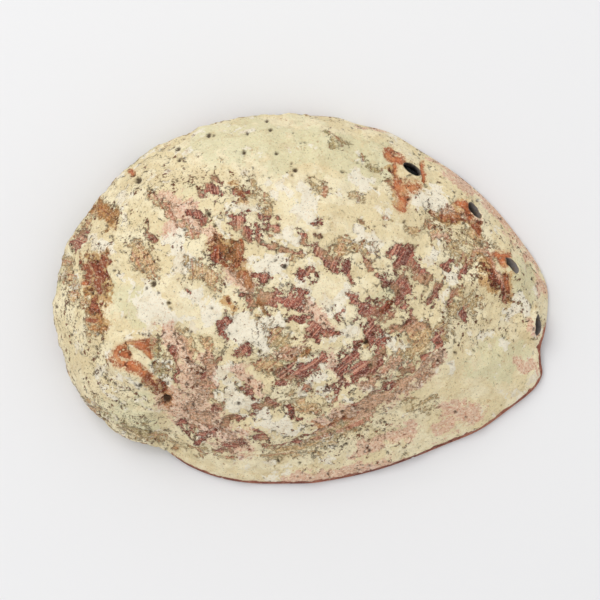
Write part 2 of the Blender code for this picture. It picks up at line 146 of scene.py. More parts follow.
# Markings seen in the photograph, in its pixels: the two ends and the half width of each patch
# Bare brick red shell, where the crust has come off
BARE = [
    (209, 193, 220, 194, 6), (233, 193, 244, 192, 6), (230, 216, 244, 216, 4), (238, 222, 244, 234, 6),
    (268, 217, 272, 227, 6), (218, 252, 236, 256, 8), (256, 280, 266, 276, 4), (262, 242, 276, 245, 3),
    (282, 252, 298, 253, 3.5), (250, 300, 270, 296, 7), (268, 302, 300, 298, 7), (316, 222, 324, 223, 5),
    (360, 221, 362, 226, 3), (304, 237, 314, 248, 6), (322, 236, 323, 240, 2.5), (310, 252, 326, 256, 3),
    (330, 258, 337, 272, 4.5), (345, 264, 349, 277, 4), (365, 260, 368, 268, 4), (393, 252, 408, 256, 6),
    (396, 264, 410, 262, 5), (413, 271, 425, 280, 5.5), (444, 265, 449, 264, 4), (466, 258, 461, 278, 3),
    (396, 284, 408, 290, 7), (397, 298, 402, 304, 5), (425, 304, 436, 288, 3.5), (450, 300, 456, 293, 3.5),
    (352, 296, 360, 306, 6), (366, 311, 382, 312, 9), (372, 325, 370, 340, 7), (302, 270, 312, 278, 4),
    (407, 244, 412, 246, 3), (310, 330, 336, 332, 4.5), (392, 330, 420, 326, 6), (342, 368, 358, 348, 6),
    (356, 372, 376, 362, 6), (284, 372, 312, 368, 9), (296, 384, 306, 386, 5), (331, 398, 340, 384, 5),
    (420, 358, 436, 346, 2.5), (238, 350, 248, 348, 5), (258, 408, 272, 400, 6), (224, 422, 238, 416, 5),
    (256, 434, 265, 434, 4), (218, 448, 244, 443, 4), (310, 326, 318, 338, 4), (222, 338, 230, 318, 4),
    (213, 362, 218, 360, 3), (174, 358, 174, 384, 2), (76, 240, 84, 236, 5), (389, 172, 393, 186, 4),
    (104, 256, 106, 274, 3.5), (92, 268, 104, 290, 9), (96, 296, 98, 312, 6.5), (88, 318, 98, 326, 4),
    (124, 353, 125, 355, 4), (150, 379, 160, 391, 4), (90, 232, 78, 248, 5), (172, 348, 174, 376, 2.5),
    (164, 384, 160, 394, 3), (196, 440, 216, 428, 5), (214, 412, 226, 402, 3), (210, 366, 204, 386, 2.5),
    (262, 446, 300, 438, 3), (442, 214, 472, 226, 5), (486, 268, 506, 294, 5), (258, 226, 262, 238, 3),
    (296, 322, 306, 316, 3.5), (336, 310, 344, 318, 3), (376, 276, 384, 282, 3), (384, 340, 378, 352, 3),
    (412, 312, 418, 322, 3), (268, 336, 278, 330, 3), (244, 384, 250, 396, 3.5), (322, 356, 316, 364, 3),
    (290, 408, 300, 416, 3), (354, 418, 366, 410, 3), (196, 214, 204, 220, 4), (214, 176, 222, 182, 3),
    (148, 226, 154, 240, 3), (186, 286, 192, 292, 2.5), (440, 330, 434, 342, 3), (460, 318, 466, 308, 2.5),
    (180, 420, 192, 430, 4), (326, 426, 372, 406, 1.8), (350, 406, 398, 380, 1.8),
    (384, 384, 424, 356, 1.6), (300, 434, 330, 426, 1.8),
]
# Thin olive and grey growth, streaked along the growth lines
THIN = [
    (250, 186, 268, 210, 8), (262, 196, 272, 200, 8), (140, 246, 150, 270, 9), (190, 262, 210, 276, 9),
    (100, 208, 114, 216, 8), (86, 218, 92, 230, 5), (184, 328, 204, 392, 6), (262, 322, 296, 352, 10),
    (288, 396, 316, 408, 7), (124, 424, 160, 438, 6), (92, 400, 104, 416, 4), (300, 448, 440, 360, 7),
    (270, 455, 330, 440, 7), (344, 426, 420, 374, 7), (372, 380, 440, 330, 8), (412, 336, 444, 330, 9),
    (340, 246, 368, 250, 7), (318, 184, 324, 196, 6), (350, 194, 360, 200, 6), (430, 212, 456, 218, 8),
    (470, 236, 492, 262, 9), (488, 262, 500, 280, 7), (384, 222, 388, 226, 4), (408, 229, 418, 230, 4),
    (362, 158, 376, 168, 6), (414, 404, 434, 402, 8), (504, 288, 508, 296, 4), (450, 310, 470, 300, 9),
    (176, 445, 232, 456, 5), (330, 139, 342, 146, 5), (156, 346, 162, 366, 8), (66, 262, 76, 296, 7),
    (84, 300, 98, 330, 7), (152, 196, 196, 232, 5), (190, 408, 236, 438, 5), (206, 340, 214, 400, 4),
    (300, 254, 290, 262, 5), (236, 268, 250, 290, 6), (430, 230, 470, 262, 9), (262, 366, 300, 350, 8),
]
# Pink coralline crust
PINK = [
    (190, 404, 236, 440, 14), (166, 330, 200, 380, 10), (452, 212, 474, 226, 7), (490, 262, 506, 292, 7),
    (230, 268, 250, 290, 8), (360, 448, 410, 428, 7), (300, 300, 330, 330, 7), (240, 370, 262, 392, 6),
    (330, 356, 342, 380, 6), (196, 228, 214, 240, 5), (168, 200, 188, 212, 9), (178, 222, 164, 232, 6),
    (192, 204, 196, 228, 5), (172, 400, 206, 425, 12), (184, 372, 206, 400, 9), (446, 406, 480, 414, 8),
    (452, 420, 440, 430, 6), (518, 364, 532, 368, 6), (428, 158, 446, 169, 4), (446, 169, 484, 200, 6),
    (484, 200, 512, 230, 6), (512, 230, 534, 262, 6), (534, 262, 545, 292, 5), (360, 127, 382, 129, 3),
    (432, 234, 442, 240, 5), (478, 250, 492, 254, 5), (400, 462, 290, 480, 6), (206, 356, 214, 380, 6),
    (529, 322, 531, 332, 4), (228, 270, 246, 284, 9), (282, 352, 300, 346, 7), (320, 424, 392, 396, 8),
    (392, 396, 440, 356, 8), (366, 384, 398, 362, 6),
]
# Pale green film over thick smooth crust
GREEN = [
    (153, 346, 158, 374, 6), (112, 286, 140, 312, 12), (206, 140, 296, 150, 18), (300, 140, 370, 165, 19),
    (120, 404, 150, 420, 12), (482, 352, 518, 358, 10), (516, 268, 526, 300, 8), (470, 370, 500, 372, 10),
    (278, 344, 286, 352, 7), (330, 160, 350, 176, 12), (376, 300, 384, 290, 6),
]
# Chalk white crust
CHALK = [
    (284, 192, 296, 206, 9), (300, 200, 310, 226, 10), (146, 302, 170, 318, 9), (196, 300, 214, 312, 8),
    (238, 318, 262, 330, 7), (228, 330, 244, 340, 6), (282, 232, 300, 236, 8), (352, 178, 370, 192, 7),
    (175, 240, 184, 262, 8), (94, 240, 104, 250, 5), (224, 372, 232, 392, 8), (330, 392, 350, 404, 6),
    (404, 196, 440, 208, 7), (340, 300, 352, 292, 5), (250, 262, 284, 266, 6), (262, 318, 286, 322, 6),
    (330, 340, 350, 330, 5), (356, 236, 376, 244, 6), (210, 300, 220, 318, 6), (232, 396, 250, 402, 7),
    (206, 430, 232, 436, 5), (262, 418, 286, 424, 6), (186, 352, 196, 368, 5), (300, 392, 320, 376, 4),
    (386, 342, 400, 350, 5), (216, 224, 226, 240, 4), (252, 332, 262, 346, 5),
]
# Orange shell, worn smooth
ORANGE = [
    (388, 155, 399, 161, 5), (397, 186, 413, 188, 6), (404, 190, 401, 207, 6), (394, 166, 396, 182, 2.6),
    (421, 164, 424, 182, 1.8), (128, 344.5, 120, 347.5, 3.4), (120, 347.5, 115.5, 354, 4.2),
    (115.5, 354, 119, 361.5, 4.2), (119, 361.5, 129, 366, 4), (129, 364, 140, 369, 5),
    (140, 369, 150, 378, 4.4), (150, 378, 158, 388, 3.2), (123.5, 353, 127, 355, 5.4),
    (128, 343.5, 140, 343, 2.8), (141, 346, 148, 345, 4.8), (145, 349, 148, 356, 4.6),
    (86, 266, 90, 272, 2.6), (84, 284, 90, 283, 2.6), (103, 257, 105, 266, 2.2), (96, 280, 101, 292, 2.8),
    (90, 320, 94, 322, 2.4), (458, 202, 463, 205, 3.2), (465, 209, 469, 222, 2.2),
    (472, 226, 478, 232, 2.4), (496, 254, 505, 257, 3.6), (502, 259, 504, 266, 3),
    (505, 276, 508, 292, 2.4), (131, 171, 134, 176, 2.5), (228, 298, 230, 304, 1.5),
    (222, 262, 226, 266, 2), (237, 193, 243, 196, 2.2), (240, 240, 243, 252, 1.6),
]
# Bands of cream across the worn orange shell of the curl
CREAM_LINES = [
    (130, 346.5, 137, 352, 1.7), (137, 352, 146, 361, 2.4), (127, 348, 121, 350, 0.22),
    (121, 350, 119, 355, 0.22), (119, 355, 122, 360.5, 0.22),
]
# Brown stain over whatever else is there
STAIN = [
    (96, 264, 104, 296, 9), (92, 296, 100, 324, 8), (104, 254, 105, 270, 3.5), (388, 168, 395, 192, 4),
    (396, 196, 394, 208, 3), (462, 204, 458, 216, 5), (444, 218, 474, 228, 5), (484, 262, 490, 290, 6),
    (507, 276, 510, 298, 4), (150, 378, 166, 396, 5), (113, 348, 113, 358, 2), (236, 188, 244, 200, 5),
    (218, 246, 238, 260, 8), (240, 266, 248, 282, 5), (228, 296, 230, 308, 3), (98, 206, 114, 222, 6),
    (316, 426, 346, 418, 2.5), (384, 312, 390, 304, 3), (362, 340, 366, 346, 3), (300, 356, 310, 350, 3),
    (256, 300, 262, 308, 3),
]
# Fine dark specks, close together
PEPPER = [
    (92, 340, 104, 400, 14), (118, 392, 150, 430, 14), (66, 262, 72, 330, 10), (80, 226, 100, 250, 9),
    (110, 205, 150, 245, 12), (136, 190, 200, 178, 10), (140, 250, 160, 282, 12), (204, 222, 220, 246, 10),
    (240, 180, 262, 214, 10), (376, 160, 392, 204, 8), (400, 214, 440, 214, 8), (440, 226, 500, 296, 15),
    (444, 312, 500, 336, 9), (390, 268, 410, 330, 9), (520, 300, 526, 350, 6), (250, 350, 300, 380, 12),
    (180, 330, 210, 440, 14), (330, 440, 420, 424, 10),
]
# Where the crust is most broken
BUSY = [(220, 280, 420, 320, 75)]
# Smooth soft crust with few specks
SOFT = [
    (450, 392, 515, 372, 26), (110, 290, 140, 312, 14), (300, 150, 360, 160, 18), (215, 140, 300, 140, 18),
    (420, 424, 470, 410, 12), (184, 463, 285, 472, 12), (270, 200, 322, 226, 16), (340, 186, 396, 226, 14),
    (146, 296, 204, 316, 16), (326, 288, 352, 300, 8),
]
# Round holes and hollows in the crust, which get painted shade as deep as they are: x, y, radius
PITS = [
    (244, 153, 2.2), (209, 136, 2.4), (214, 137, 1.6), (179, 150, 2.2), (180, 161, 2.2), (139, 181, 3.2),
    (134, 176, 2.2), (295, 171, 2.4), (292, 176, 1.6), (209, 214, 2.6), (285, 267, 2.6), (159, 293, 1.8),
    (154, 284, 3), (270, 132, 2), (267, 122, 2), (185, 230, 2), (169, 303, 2.2), (171, 308, 1.6),
    (165, 333, 1.6), (182, 340, 1.5), (167.5, 398, 3.8), (194, 403, 1.6), (295, 393, 1.4), (366, 342, 2.6),
    (346, 443, 2), (130, 354.5, 1.8), (141, 384, 2.4), (92, 293, 2.2), (143, 369, 1.5), (131, 366, 1.1),
    (133, 372, 1.1), (131, 377, 1.2), (136, 382, 1.4), (139, 388, 1.5), (134, 389, 1.1), (146, 389, 1.3),
    (125, 385, 1.3), (118, 368, 1), (163, 304, 1.4), (97, 262, 1.5), (104, 251, 1.2), (229, 301, 2),
]
PIT_DEPTH = 0.9  # of a pit's radius
SMALL_PITS, SMALL_PIT_RADIUS, PIT_SEED = 260, (0.35, 0.8), 9

# Relief of the outside, in millimetres
CRUST_THICKNESS = 0.75
THIN_THICKNESS = 0.3
GROWTH_RELIEF = 0.22
LUMPY_RELIEF = 0.7
GRAIN_RELIEF = 0.3
LIP_WIDTH = 1.5  # of red lip that the crust leaves bare
LIP_FADE = 0.8
RED_LIP_END = (-16, -6)  # where along the front edge the red lip gives way to crust
SCAR_MIDDLE, SCAR_RADII = (-2, -2), (31, 22)
OLDEST_TURN, AGE_STEP = 4.5, 0.02  # radians of turn, followed back in steps

# Colours as they look in the photograph, 0 to 255
COLOURS = {
    "cream": (244, 231, 194),
    "yellow": (234, 217, 174),
    "green": (222, 218, 178),
    "chalk": (245, 237, 217),
    "olive": (202, 174, 126),
    "moss": (126, 102, 66),
    "grey": (210, 186, 140),
    "tan": (222, 182, 132),
    "brick": (190, 110, 90),
    "maroon": (122, 66, 56),
    "rosy": (218, 168, 140),
    "fern": (152, 148, 96),
    "pink": (230, 188, 162),
    "salmon": (220, 172, 146),
    "orange": (204, 120, 74),
    "amber": (218, 166, 114),
    "rust": (150, 84, 56),
    # dark specks and dirt, and also the painted shade in cracks, pits and along the crust's broken edges
    "dirt_and_shade": (64, 44, 28),
    "stain": (216, 178, 136),
    "lip": (168, 104, 82),
    "hole": (124, 116, 112),
    "silver": (226, 226, 222),
    "scar": (150, 140, 118),
    "floor": (226, 226, 227),
}
# Tints of the mother of pearl from one end of its bands to the other, in linear values
NACRE_TINTS = [
    (0.05, (0.36, 0.54, 0.52)),
    (0.22, (0.60, 0.57, 0.56)),
    (0.36, (0.62, 0.44, 0.48)),
    (0.50, (0.42, 0.58, 0.48)),
    (0.64, (0.66, 0.60, 0.52)),
    (0.78, (0.42, 0.50, 0.60)),
    (0.95, (0.58, 0.46, 0.60)),
]


# The shell's surfaces


def smooth_curve(points, closed=False, per_span=24):
    """A smooth curve through rows of numbers, whose first two are x and y."""
    rows = np.array(points, float)
    if closed:
        rows = np.vstack([rows[-1:], rows, rows[:2]])
    else:
        rows = np.vstack([2 * rows[0] - rows[1], rows, 2 * rows[-1] - rows[-2]])
    span = np.linalg.norm(np.diff(rows[:, :2], axis=0), axis=1)[:, None]
    slope = (rows[2:] - rows[:-2]) / (span[1:] + span[:-1])
    t = np.linspace(0, 1, per_span, endpoint=False)[:, None]
    pieces = []
    for i in range(len(slope) - 1):
        start, end, length = rows[i + 1], rows[i + 2], span[i + 1]
        pieces.append(
            (2 * t**3 - 3 * t**2 + 1) * start
            + (t**3 - 2 * t**2 + t) * length * slope[i]
            + (3 * t**2 - 2 * t**3) * end
            + (t**3 - t**2) * length * slope[i + 1]
        )
    if not closed:
        pieces.append(rows[-2:-1])
    return np.vstack(pieces)


def along_loop(curve, fractions):
    """Points at those fractions of the way round a closed curve."""
    loop = np.vstack([curve, curve[:1]])
    run = np.concatenate([[0], np.cumsum(np.linalg.norm(np.diff(loop, axis=0), axis=1))])
    wanted = np.asarray(fractions) * run[-1]
    return np.column_stack([np.interp(wanted, run, loop[:, k]) for k in (0, 1)])


def by_bearing(rows, xy):
    """The value at each point of a property that is given by its bearing from the crest."""
    bearing = np.degrees(np.arctan2(xy[..., 1] - CREST[1], xy[..., 0] - CREST[0]))
    return np.interp(bearing, [b for b, _ in rows], [v for _, v in rows], period=360)


def nearest(xy, curve):
    """Distance from each point to a curve, and the number of the curve's nearest sample."""
    distance = np.empty(len(xy))
    index = np.empty(len(xy), int)
    for start in range(0, len(xy), 4000):
        part = slice(start, start + 4000)
        gap = ((xy[part, None, :] - curve[None, :, :2]) ** 2).sum(axis=2)
        index[part] = gap.argmin(axis=1)
        distance[part] = np.sqrt(gap.min(axis=1))
    return distance, index


def ridge(xy, points):
    """Rise at each point of a ridge, or of a groove where the rise is below zero."""
    curve = smooth_curve(points, per_span=10)
    distance, index = nearest(xy, curve)
    return curve[index, 2] * np.exp(-((distance / curve[index, 3]) ** 2))


def bumps(xy, places):
    """Rise at each point of round bumps: x, y, rise, radius."""
    total = np.zeros(len(xy))
    for x, y, rise, radius in places:
        distance = np.hypot(xy[:, 0] - x, xy[:, 1] - y)
        total += rise * np.exp(-((distance / radius) ** 2))
    return total


def inward(outline):
    """Unit vectors that point in from a closed anticlockwise curve."""
    along = np.roll(outline, -1, axis=0) - np.roll(outline, 1, axis=0)
    along /= np.linalg.norm(along, axis=1)[:, None]
    return np.column_stack([-along[:, 1], along[:, 0]])


def arch_rise(xy):
    """How far the rim is off the surface, and exactly 0 where it stands on it."""
    return np.clip(bumps(xy, ARCHES) - ARCH_START, 0, None)


def rim_curves():
    """The shell's widest line, and the outer and inner edges of the strip that it stands on."""
    widest = along_loop(smooth_curve(OUTLINE, closed=True), np.arange(RIM_SAMPLES) / RIM_SAMPLES)
    normal = inward(widest)
    tuck = LIP_TUCK + by_bearing(TUCK, widest)
    band = LIP_BAND + (SHELF_BAND - LIP_BAND) * np.clip(by_bearing(SHELF, widest) / 4, 0, 1)
    outer = widest + normal * tuck[:, None]
    return widest, outer, outer + normal * band[:, None]


def share_of_way_out(xy, rim):
    """0 at the crest and 1 at the rim, along a line from one to the other."""
    way, rim_way = xy - CREST, rim - CREST
    bearing = np.arctan2(way[:, 1], way[:, 0])
    rim_bearing = np.arctan2(rim_way[:, 1], rim_way[:, 0])
    reach = np.interp(bearing, rim_bearing, np.linalg.norm(rim_way, axis=1), period=2 * math.pi)
    return np.clip(np.linalg.norm(way, axis=1) / reach, 0, 1)


def growth_line(widest, age):
    """The edge that the lip had when the shell was that many degrees of turn younger."""
    way = widest - APEX
    bearing = np.degrees(np.arctan2(way[:, 1], way[:, 0]))
    order = np.argsort(bearing)
    chosen = (bearing[order] > LIP_BEARINGS[0]) & (bearing[order] < LIP_BEARINGS[1])
    lip = way[order][chosen]
    turn = math.radians(age)
    turned = np.array(((math.cos(turn), math.sin(turn)), (-math.sin(turn), math.cos(turn))))
    return APEX + lip @ turned * math.exp(-SHRINKAGE * turn)


def growth_ledges(xy, widest):
    """Rise at each point of the ledges that old edges of the lip left."""
    total = np.zeros(len(xy))
    for age, rise, half_width in LEDGES:
        distance, _ = nearest(xy, growth_line(widest, age))
        total += rise * np.exp(-((distance / half_width) ** 2))
    return total


def dome(xy, rim, foot, top):
    """Height of a dome that rises from the foot at its rim to the top at the crest."""
    share = share_of_way_out(xy, rim)
    return foot + (top - foot) * (1 - share ** by_bearing(FLATNESS, xy)) ** by_bearing(ROUNDNESS, xy)


def crust_lumps(rim):
    """Places of the low lumps of thick crust."""
    rng = random.Random(LUMP_SEED)
    low, high = rim.min(axis=0), rim.max(axis=0)
    return [
        (
            rng.uniform(low[0], high[0]),
            rng.uniform(low[1], high[1]),
            rng.uniform(*LUMP_RISE),
            rng.uniform(*LUMP_RADIUS),
        )
        for _ in range(LUMPS)
    ]


def outer_height(xy, widest):
    """Height of the outside above each point inside the widest line."""
    share = share_of_way_out(xy, widest)
    belly = LIP_EDGE + by_bearing(BELLY, xy)
    smooth = dome(xy, widest, belly, HEIGHT)
    detail = sum(ridge(xy, line) for line in (KEEL, FURROW, SUTURE, CURL, WEDGE))
    detail += growth_ledges(xy, widest)
    detail += bumps(xy, MOUND + SEALED_PORES + BIG_LUMPS + crust_lumps(widest))
    fade = np.clip((1 - share) / 0.05, 0, 1)
    rim_lift = arch_rise(xy) * np.clip((share - 0.8) / 0.2, 0, 1)
    return np.maximum(smooth + detail * fade, belly) + rim_lift


def inner_height(xy, inner_rim):
    """Height of the inside above each point within the rim: a smaller dome and the shelf of the inner lip."""
    vault = dome(xy, inner_rim, 0, HEIGHT - TOP_WALL)
    pocket = POCKET_RISE * np.exp(-((np.linalg.norm(xy - APEX, axis=1) / POCKET_RADIUS) ** 2))
    distance, index = nearest(xy, inner_rim)
    width = by_bearing(SHELF, inner_rim)[index]
    shelf = SHELF_SLOPE * np.minimum(distance, width) + SHELF_WALL * np.clip(distance - width, 0, None)
    lift = arch_rise(inner_rim)[index] * np.exp(-distance / 5)
    return np.minimum(vault + pocket, shelf) + lift


def rings_inside(curve, shares, points):
    """The fractions and places of rings between the crest and a curve, the widest with that many points."""
    rings = []
    for share in shares:
        count = max(6, round(points * share))
        fractions = np.arange(count) / count
        rings.append((fractions, CREST + share * (along_loop(curve, fractions) - CREST)))
    return rings


def sheet_rings():
    """Rings of points with the fraction of the way round of each, from the crest to the rim and back in."""
    widest, outer_rim, inner_rim = rim_curves()
    run = np.linspace(0, 1, OUTER_RINGS + 1)[1:]
    outside = rings_inside(widest, np.sin(run * RING_BEND) / math.sin(RING_BEND), RIM_POINTS)
    heights = outer_height(np.vstack([xy for _, xy in outside]), widest)
    cuts = np.cumsum([len(xy) for _, xy in outside])[:-1]
    rings = [(f, np.column_stack([xy, z])) for (f, xy), z in zip(outside, np.split(heights, cuts))]
    fractions, edge = rings[-1]
    strip = along_loop(outer_rim, fractions)
    lift = arch_rise(strip)
    for turn in np.linspace(0, math.pi / 2, ROLL_RINGS + 1)[1:]:
        xy = edge[:, :2] + (strip - edge[:, :2]) * (1 - math.cos(turn))
        rings.append((fractions, np.column_stack([xy, edge[:, 2] + (lift - edge[:, 2]) * math.sin(turn)])))
    foot = along_loop(inner_rim, fractions)
    for step in np.arange(1, BAND_RINGS + 1) / BAND_RINGS:
        xy = strip + (foot - strip) * step
        rings.append((fractions, np.column_stack([xy, arch_rise(xy)])))
    run = np.linspace(1, 0, INNER_RINGS + 1)[1:-1]
    inside = rings_inside(inner_rim, np.sin(run * RING_BEND) / math.sin(RING_BEND), INNER_POINTS)
    heights = inner_height(np.vstack([xy for _, xy in inside]), inner_rim)
    cuts = np.cumsum([len(xy) for _, xy in inside])[:-1]
    rings += [(f, np.column_stack([xy, z])) for (f, xy), z in zip(inside, np.split(heights, cuts))]
    return rings


def zip_rings(first, second, first_start, second_start):
    """Triangles between two rings, which may have different numbers of points."""
    a, b, triangles = 0, 0, []
    while a < len(first) or b < len(second):
        next_a, next_b = (a + 1) / len(first), (b + 1) / len(second)
        low_a = first_start + a % len(first)
        low_b = second_start + b % len(second)
        if b == len(second) or (a < len(first) and next_a <= next_b):
            a += 1
            triangles.append((low_a, low_b, first_start + a % len(first)))
        else:
            b += 1
            triangles.append((low_a, low_b, second_start + b % len(second)))
    return triangles


def fan(ring, start, middle, turned):
    """Triangles between a ring and the point in its middle."""
    count = len(ring)
    pairs = [(start + i, start + (i + 1) % count) for i in range(count)]
    return [(b, a, middle) if turned else (a, b, middle) for a, b in pairs]


def shell_mesh():
    """The whole sheet as one closed mesh, in millimetres."""
    rings = sheet_rings()
    widest, _, inner_rim = rim_curves()
    starts = np.concatenate([[0], np.cumsum([len(f) for f, _ in rings])]).astype(int)
    tops = [outer_height(CREST[None], widest)[0], inner_height(CREST[None], inner_rim)[0]]
    points = np.vstack([xyz for _, xyz in rings] + [np.append(CREST, z) for z in tops])
    faces = fan(rings[0][0], int(starts[0]), len(points) - 2, False)
    for k in range(len(rings) - 1):
        faces += zip_rings(rings[k][0], rings[k + 1][0], int(starts[k]), int(starts[k + 1]))
    faces += fan(rings[-1][0], int(starts[-2]), len(points) - 1, True)
    mesh = bpy.data.meshes.new("shell_surface")
    mesh.from_pydata(points.tolist(), [], faces)
    return mesh


def pore_frame(pore, widest):
    """The frame of a pore: X along its length, Z out through its mouth, leaning away from the crest."""
    x, y, _, _, heading, lean = pore
    out = Vector((x - CREST[0], y - CREST[1], 0)).normalized()
    axis = Vector((0, 0, math.cos(math.radians(lean)))) + out * math.sin(math.radians(lean))
    along = Vector((math.cos(math.radians(heading)), math.sin(math.radians(heading)), 0))
    along = (along - axis * along.dot(axis)).normalized()
    matrix = Matrix((along, axis.cross(along), axis)).transposed().to_4x4()
    matrix.translation = (x, y, float(outer_height(np.array([[x, y]]), widest)[0]))
    return matrix


def bore_tool(pore, widest):
    """The solid that bores a pore, as a hidden object."""
    bm = bmesh.new()
    bmesh.ops.create_cone(
        bm, cap_ends=True, segments=PORE_SEGMENTS, radius1=1, radius2=1, depth=BORE_DEPTH + BORE_ABOVE
    )
    up = (BORE_ABOVE - BORE_DEPTH) / 2
    for vert in bm.verts:
        vert.co = (vert.co.x * pore[2] / 2, vert.co.y * pore[3] / 2, vert.co.z + up)
    bmesh.ops.transform(bm, matrix=pore_frame(pore, widest), verts=bm.verts)
    mesh = bpy.data.meshes.new("bore")
    bm.to_mesh(mesh)
    bm.free()
    return bpy.data.objects.new("bore", mesh)


def bore_pores(mesh):
    """The mesh with its open pores cut through."""
    widest = rim_curves()[0]
    obj = bpy.data.objects.new("uncut", mesh)
    bpy.context.scene.collection.objects.link(obj)
    tools = [bore_tool(pore, widest) for pore in PORES]
    for tool in tools:
        bpy.context.scene.collection.objects.link(tool)
        step = obj.modifiers.new("bore", "BOOLEAN")
        step.operation = "DIFFERENCE"
        step.object = tool
        step.solver = "EXACT"
    cut = bpy.data.meshes.new_from_object(obj.evaluated_get(bpy.context.evaluated_depsgraph_get()))
    for used in [obj, *tools]:
        bpy.data.objects.remove(used, do_unlink=True)
    return cut


# Relief and markings


def fractal(points, size, octaves=4, shift=0.0):
    """Noise from about -1 to 1 at each point, whose largest features are that many millimetres across."""
    return np.array([noise.fractal(p, 1.0, 2.0, octaves) for p in (points / size + shift).tolist()])


def smoothstep(low, high, value):
    t = np.clip((value - low) / (high - low), 0, 1)
    return t * t * (3 - 2 * t)


def on_shell(x, y):
    """The place, in millimetres, of a pixel of the photograph."""
    return np.array(((x - PHOTO_ORIGIN[0]) * PIXEL, (PHOTO_ORIGIN[1] - y) * PIXEL))


def as_photographed(points):
    """Where the photograph shows each point, in millimetres at the height that its scale holds for."""
    middle = on_shell(PHOTO_SIZE / 2, PHOTO_SIZE / 2)
    spread = (CAMERA_HEIGHT - SCALE_HEIGHT) / (CAMERA_HEIGHT - points[:, 2:])
    return middle + (points[:, :2] - middle) * spread


def coverage(xy, patches):
    """1 in the middle of the patches, a half at their edges and 0 well outside."""
    most = np.zeros(len(xy))
    for x0, y0, x1, y1, half_width in patches:
        start, end = on_shell(x0, y0), on_shell(x1, y1)
        way = end - start
        along = np.clip(((xy - start) @ way) / max(way @ way, 1e-9), 0, 1)
        distance = np.linalg.norm(xy - start - along[:, None] * way, axis=1)
        most = np.maximum(most, 1 - distance / (2 * half_width * PIXEL))
    return most


def growth_age(xy, widest):
    """How many radians of turn ago the lip was at each point."""
    way = widest - APEX
    start = math.radians(LIP_BEARINGS[0] - 6)
    bearing = (np.arctan2(way[:, 1], way[:, 0]) - start) % (2 * math.pi)
    order = np.argsort(bearing)
    bearing, reach = bearing[order], np.linalg.norm(way[order], axis=1)
    own = xy - APEX
    distance = np.linalg.norm(own, axis=1)
    own_bearing = (np.arctan2(own[:, 1], own[:, 0]) - start) % (2 * math.pi)
    age = np.zeros(len(xy))
    found = np.zeros(len(xy), bool)
    previous = np.full(len(xy), -1.0)
    for turn in np.arange(0, OLDEST_TURN, AGE_STEP):
        lip = np.interp(own_bearing - turn, bearing, reach, period=2 * math.pi) * math.exp(-SHRINKAGE * turn)
        gap = distance - lip
        crossed = (gap > 0) & ~found
        part = np.where(gap - previous > 1e-9, gap / np.maximum(gap - previous, 1e-9), 0)
        age[crossed] = turn - AGE_STEP * np.clip(part[crossed], 0, 1)
        found |= crossed
        previous = gap
    age[~found] = OLDEST_TURN
    return age


def markings(points, normals):
    """Masks of what covers the outside: the marks seen in the photograph, and others out of its sight."""
    warp = np.column_stack([fractal(points, 6, 4, 3.1), fractal(points, 6, 4, 8.7)])
    plain = as_photographed(points)
    xy = plain + 3.0 * warp
    seen = smoothstep(0.12, 0.4, normals[:, 2])
    hidden = 1 - seen
    ragged = fractal(points, 4.5, 5, 1.7)
    broad = fractal(points, 16, 4, 5.3)
    middling = fractal(points, 9, 4, 11.9)
    busy = smoothstep(0, 0.6, coverage(plain, BUSY))
    orange = coverage(plain + 0.7 * warp, ORANGE) - 1.5 * coverage(plain, CREAM_LINES)
    scattered = hidden * (0.2 + 0.5 * middling)
    pinkish = hidden * (0.35 + 0.5 * fractal(points, 14, 3, 21.0))
    greenish = hidden * (0.35 + 0.5 * fractal(points, 18, 3, 31.0))
    return {
        "bare": seen * coverage(xy, BARE) + scattered + 0.15 * ragged + 0.1 * (busy - 0.5),
        "thin": seen * coverage(xy, THIN) + hidden * (0.42 + 0.5 * broad) + 0.2 * middling,
        "pink": (0.5 + 0.5 * seen) * coverage(xy, PINK) + 0.2 * middling + pinkish,
        "green": seen * coverage(xy, GREEN) + greenish + 0.2 * broad,
        "chalk": coverage(xy, CHALK) + 0.25 * broad,
        "orange": seen * orange,
        "soft": seen * coverage(xy, SOFT),
        "stain": seen * coverage(xy, STAIN) + scattered + 0.2 * ragged,
        "pepper": seen * coverage(xy, PEPPER) + hidden * (0.5 + 0.4 * broad),
    }


def pit_places(widest):
    """Places of the round holes in the crust: x, y, radius."""
    rng = random.Random(PIT_SEED)
    low, high = widest.min(axis=0), widest.max(axis=0)
    places = [(*on_shell(x, y), radius * PIXEL) for x, y, radius in PITS]
    for _ in range(SMALL_PITS):
        x, y = rng.uniform(low[0], high[0]), rng.uniform(low[1], high[1])
        places.append((x, y, rng.uniform(*SMALL_PIT_RADIUS)))
    return places


def pit_depth(points, places):
    """Depth at each point of the round holes."""
    depth = np.zeros(len(points))
    xy = as_photographed(points)
    for x, y, radius in places:
        near = np.flatnonzero((abs(xy[:, 0] - x) < 3 * radius) & (abs(xy[:, 1] - y) < 3 * radius))
        distance = np.hypot(xy[near, 0] - x, xy[near, 1] - y)
        depth[near] = np.maximum(depth[near], radius * PIT_DEPTH * np.exp(-((distance / radius) ** 4)))
    return depth


